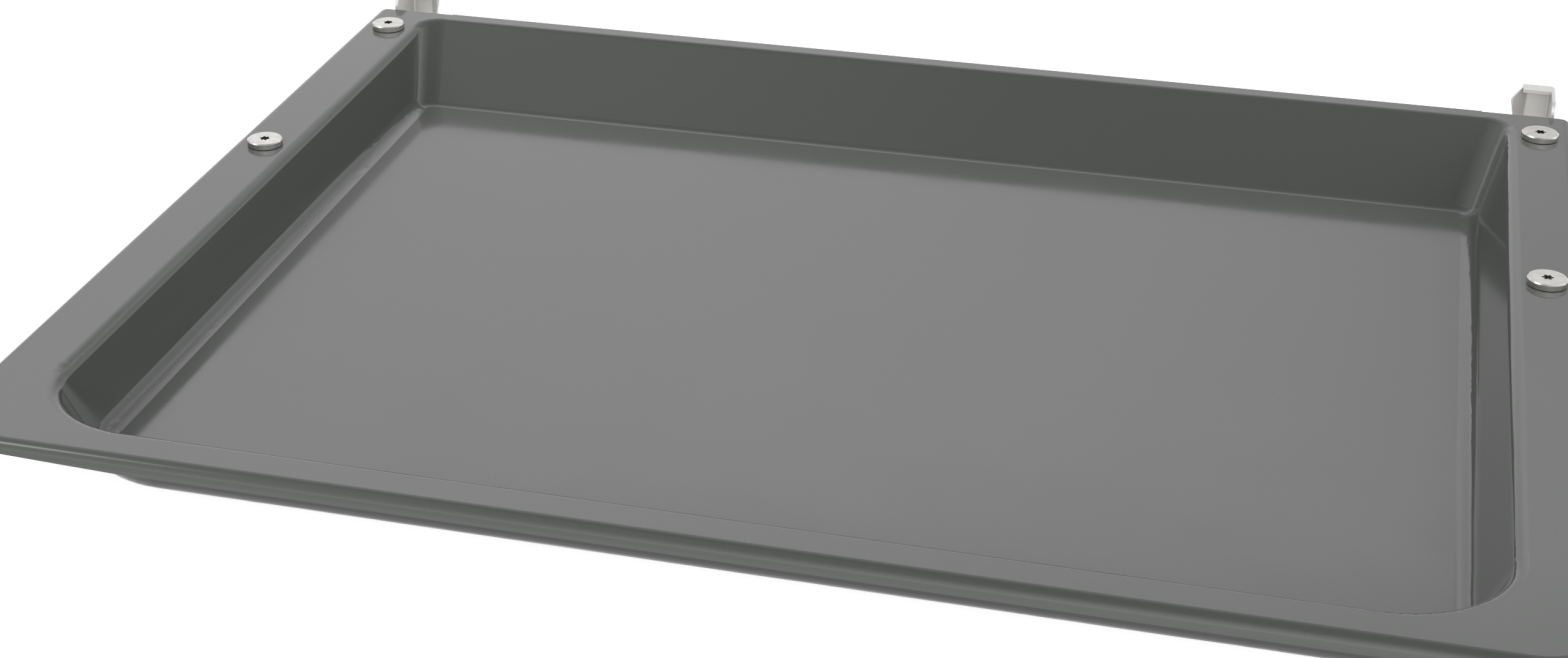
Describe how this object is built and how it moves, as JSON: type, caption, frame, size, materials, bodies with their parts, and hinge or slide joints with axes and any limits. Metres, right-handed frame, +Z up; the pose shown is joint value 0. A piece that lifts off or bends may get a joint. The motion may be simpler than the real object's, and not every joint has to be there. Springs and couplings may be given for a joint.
{
  "type": "oven tray with hooks",
  "caption": "Shallow enamelled steel oven tray with drafted walls and a turned-down flange, carried by hook brackets screwed under its side flanges.",
  "frame": {"origin": "on the surface the tray rests on, under the middle of its overall length and width", "axes": "+X across the tray to its right side, +Y from the front lip towards the hooks, +Z up out of the tray"},
  "size_m": [0.4648, 0.3956, 0.029],
  "materials": {
    "enamel": "glossy grey vitreous enamel",
    "bracket_steel": "satin stainless steel",
    "screw_steel": "turned stainless steel",
    "washer_plastic": "natural matt plastic",
    "nut_steel": "bright zinc-plated steel"
  },
  "bodies": {
    "root": {"tray_pan": "enamel", "hook_bracket_left": "bracket_steel", "hook_bracket_right": "bracket_steel", "screw_left_rear": "screw_steel", "guard_washer_left_rear": "washer_plastic", "spring_washer_left_rear": "nut_steel", "nut_left_rear": "nut_steel", "screw_left_front": "screw_steel", "guard_washer_left_front": "washer_plastic", "spring_washer_left_front": "nut_steel", "nut_left_front": "nut_steel", "screw_right_rear": "screw_steel", "guard_washer_right_rear": "washer_plastic", "spring_washer_right_rear": "nut_steel", "nut_right_rear": "nut_steel", "screw_right_front": "screw_steel", "guard_washer_right_front": "washer_plastic", "spring_washer_right_front": "nut_steel", "nut_right_front": "nut_steel"}
  },
  "joints": []
}
